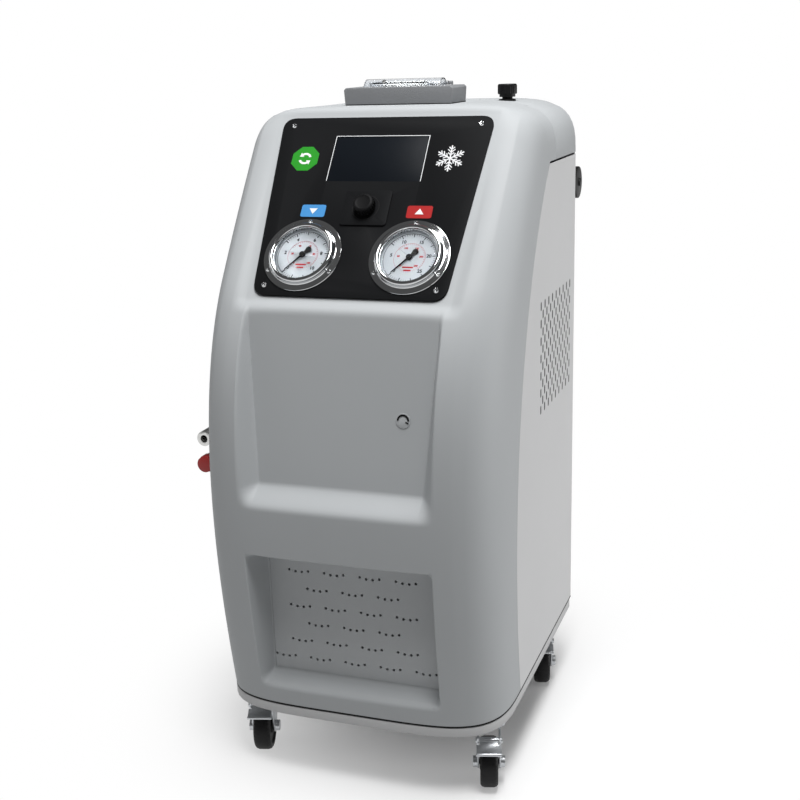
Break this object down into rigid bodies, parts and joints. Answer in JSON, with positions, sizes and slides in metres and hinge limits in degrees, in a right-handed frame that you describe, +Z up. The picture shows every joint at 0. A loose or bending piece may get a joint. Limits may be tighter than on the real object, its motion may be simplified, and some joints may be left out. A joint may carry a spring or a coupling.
{
  "type": "refrigerant recovery machine",
  "caption": "Upright service cabinet on braked casters with a moulded front, leaning gauge fascia, top printer, side hose ports and rear push bar.",
  "frame": {"origin": "on the floor under the centre of the bounding box", "axes": "+X to the right seen from the front, +Y from the front to the rear, +Z up"},
  "size_m": [0.4746, 0.5567, 0.9595],
  "materials": {
    "cover_grey": "fine satin moulded grey",
    "grille_grey": "matt",
    "sheet_grey": "satin powder coat",
    "frame_dark": "matt powder coat",
    "fascia_black": "satin printed film",
    "screen": "gloss",
    "bright_steel": "polished",
    "dial_white": "matt print",
    "lens": "clear",
    "needle_black": "matt",
    "knob_black": "satin",
    "printer_grey": "satin",
    "clear_plastic": "clear",
    "paper": "matt paper",
    "black_plastic": "satin",
    "nickel": "bright nickel plate",
    "red_plastic": "satin",
    "zinc": "zinc plate",
    "wheel_black": "matt",
    "tank_paint": "gloss paint",
    "pump_blue": "gloss paint",
    "pump_black": "gloss paint",
    "fin_alu": "bare fins",
    "drier_green": "gloss paint",
    "valve_brass": "bare",
    "board_green": "solder mask",
    "copper": "bare copper",
    "tray_grey": "satin powder coat"
  },
  "bodies": {
    "body": {"base_tray": "tray_grey", "chassis": "frame_dark", "front_cover": "cover_grey", "front_grille": "grille_grey", "top_hood": "cover_grey", "side_left": "sheet_grey", "side_right": "sheet_grey", "rear_panel": "sheet_grey", "fascia": "fascia_black", "fascia_screws": "bright_steel", "display": "screen", "low_gauge": "bright_steel", "high_gauge": "bright_steel", "low_dial": "dial_white", "high_dial": "dial_white", "low_glass": "lens", "high_glass": "lens", "knob_plate": "fascia_black", "printer_body": "printer_grey", "filler_neck": "black_plastic", "low_port": "nickel", "high_port": "nickel", "push_bar": "black_plastic", "bar_arms": "frame_dark", "mains_inlet": "black_plastic", "inlet_blades": "valve_brass", "switch_housing": "black_plastic", "weigh_platform": "zinc", "storage_tank": "tank_paint", "compressor": "pump_black", "vacuum_pump": "pump_blue", "condenser": "fin_alu", "filter_drier": "drier_green", "valve_block": "valve_brass", "control_board": "board_green", "pipe_lines": "copper", "caster_plates": "zinc"},
    "low_pointer": {"low_needle": "needle_black"},
    "high_pointer": {"high_needle": "needle_black"},
    "selector_spindle": {"knob_spindle": "bright_steel"},
    "selector_knob": {"knob": "knob_black"},
    "lock": {"cover_lock": "cover_grey"},
    "printer_lid": {"printer_cover": "clear_plastic"},
    "roll": {"paper_roll": "paper"},
    "cap": {"filler_cap": "black_plastic"},
    "hose_cap": {"port_cap": "red_plastic"},
    "rocker": {"power_rocker": "red_plastic"},
    "fan": {"fan_rotor": "black_plastic"},
    "fork_fl": {"fork_fl": "zinc"},
    "wheel_fl": {"wheel_fl": "wheel_black"},
    "pedal_fl": {"pedal_fl": "zinc"},
    "fork_fr": {"fork_fr": "zinc"},
    "wheel_fr": {"wheel_fr": "wheel_black"},
    "pedal_fr": {"pedal_fr": "zinc"},
    "fork_rl": {"fork_rl": "zinc"},
    "wheel_rl": {"wheel_rl": "wheel_black"},
    "pedal_rl": {"pedal_rl": "zinc"},
    "fork_rr": {"fork_rr": "zinc"},
    "wheel_rr": {"wheel_rr": "wheel_black"},
    "pedal_rr": {"pedal_rr": "zinc"}
  },
  "joints": [
    {"name": "swivel_fl", "type": "hinge", "parent": "body", "child": "fork_fl", "pos_m": [-0.14975, -0.15465, 0.1], "axis": [0, 0, 1], "continuous": true},
    {"name": "roll_fl", "type": "hinge", "parent": "fork_fl", "child": "wheel_fl", "pos_m": [-0.14231, -0.1806, 0.0355], "axis": [0.9613, 0.2756, 0], "continuous": true},
    {"name": "brake_fl", "type": "hinge", "parent": "fork_fl", "child": "pedal_fl", "pos_m": [-0.13707, -0.19886, 0.08], "axis": [0.9613, 0.2756, 0], "range_deg": [0, 14]},
    {"name": "swivel_fr", "type": "hinge", "parent": "body", "child": "fork_fr", "pos_m": [0.19825, -0.15465, 0.1], "axis": [0, 0, 1], "continuous": true},
    {"name": "roll_fr", "type": "hinge", "parent": "fork_fr", "child": "wheel_fr", "pos_m": [0.20569, -0.1806, 0.0355], "axis": [0.9613, 0.2756, 0], "continuous": true},
    {"name": "brake_fr", "type": "hinge", "parent": "fork_fr", "child": "pedal_fr", "pos_m": [0.21093, -0.19886, 0.08], "axis": [0.9613, 0.2756, 0], "range_deg": [0, 14]},
    {"name": "swivel_rl", "type": "hinge", "parent": "body", "child": "fork_rl", "pos_m": [-0.14975, 0.16535, 0.1], "axis": [0, 0, 1], "continuous": true},
    {"name": "roll_rl", "type": "hinge", "parent": "fork_rl", "child": "wheel_rl", "pos_m": [-0.14231, 0.1394, 0.0355], "axis": [0.9613, 0.2756, 0], "continuous": true},
    {"name": "brake_rl", "type": "hinge", "parent": "fork_rl", "child": "pedal_rl", "pos_m": [-0.13707, 0.12114, 0.08], "axis": [0.9613, 0.2756, 0], "range_deg": [0, 14]},
    {"name": "swivel_rr", "type": "hinge", "parent": "body", "child": "fork_rr", "pos_m": [0.19825, 0.16535, 0.1], "axis": [0, 0, 1], "continuous": true},
    {"name": "roll_rr", "type": "hinge", "parent": "fork_rr", "child": "wheel_rr", "pos_m": [0.20569, 0.1394, 0.0355], "axis": [0.9613, 0.2756, 0], "continuous": true},
    {"name": "brake_rr", "type": "hinge", "parent": "fork_rr", "child": "pedal_rr", "pos_m": [0.21093, 0.12114, 0.08], "axis": [0.9613, 0.2756, 0], "range_deg": [0, 14]},
    {"name": "low_reading", "type": "hinge", "parent": "body", "child": "low_pointer", "pos_m": [-0.05075, -0.15675, 0.73927], "axis": [0, -0.7716, 0.6361], "range_deg": [-276, 0], "stiffness_Nm_per_rad": 0.002},
    {"name": "high_reading", "type": "hinge", "parent": "body", "child": "high_pointer", "pos_m": [0.09925, -0.15675, 0.73927], "axis": [0, -0.7716, 0.6361], "range_deg": [-276, 0], "stiffness_Nm_per_rad": 0.002},
    {"name": "selector_press", "type": "slide", "parent": "body", "child": "selector_spindle", "axis": [0, 0.7716, -0.6361], "range_m": [0, 0.0012], "stiffness_N_per_m": 800, "springref_m": -0.001},
    {"name": "selector_turn", "type": "hinge", "parent": "selector_spindle", "child": "selector_knob", "pos_m": [0.02425, -0.11032, 0.7956], "axis": [0, -0.7716, 0.6361], "continuous": true},
    {"name": "lock_turn", "type": "hinge", "parent": "body", "child": "lock", "pos_m": [0.11125, -0.23409, 0.544], "axis": [0, -0.9894, 0.1454], "range_deg": [-90, 0]},
    {"name": "printer_lid_open", "type": "hinge", "parent": "body", "child": "printer_lid", "pos_m": [0.02425, 0.08031, 0.952], "axis": [-1, 0, 0], "range_deg": [0, 100]},
    {"name": "roll_spin", "type": "hinge", "parent": "body", "child": "roll", "pos_m": [0.02425, 0.05781, 0.9405], "axis": [1, 0, 0], "continuous": true},
    {"name": "filler_cap_turn", "type": "hinge", "parent": "body", "child": "cap", "pos_m": [0.15225, 0.13735, 0.925], "axis": [0, 0, 1], "range_deg": [0, 360]},
    {"name": "hose_cap_turn", "type": "hinge", "parent": "body", "child": "hose_cap", "pos_m": [-0.22475, -0.1514, 0.432], "axis": [0, -1, 0], "range_deg": [0, 360]},
    {"name": "power_switch", "type": "hinge", "parent": "body", "child": "rocker", "pos_m": [-0.07575, 0.21935, 0.186], "axis": [1, 0, 0], "range_deg": [-16, 0]},
    {"name": "fan_spin", "type": "hinge", "parent": "body", "child": "fan", "pos_m": [0.18825, 0.10035, 0.606], "axis": [1, 0, 0], "continuous": true}
  ]
}
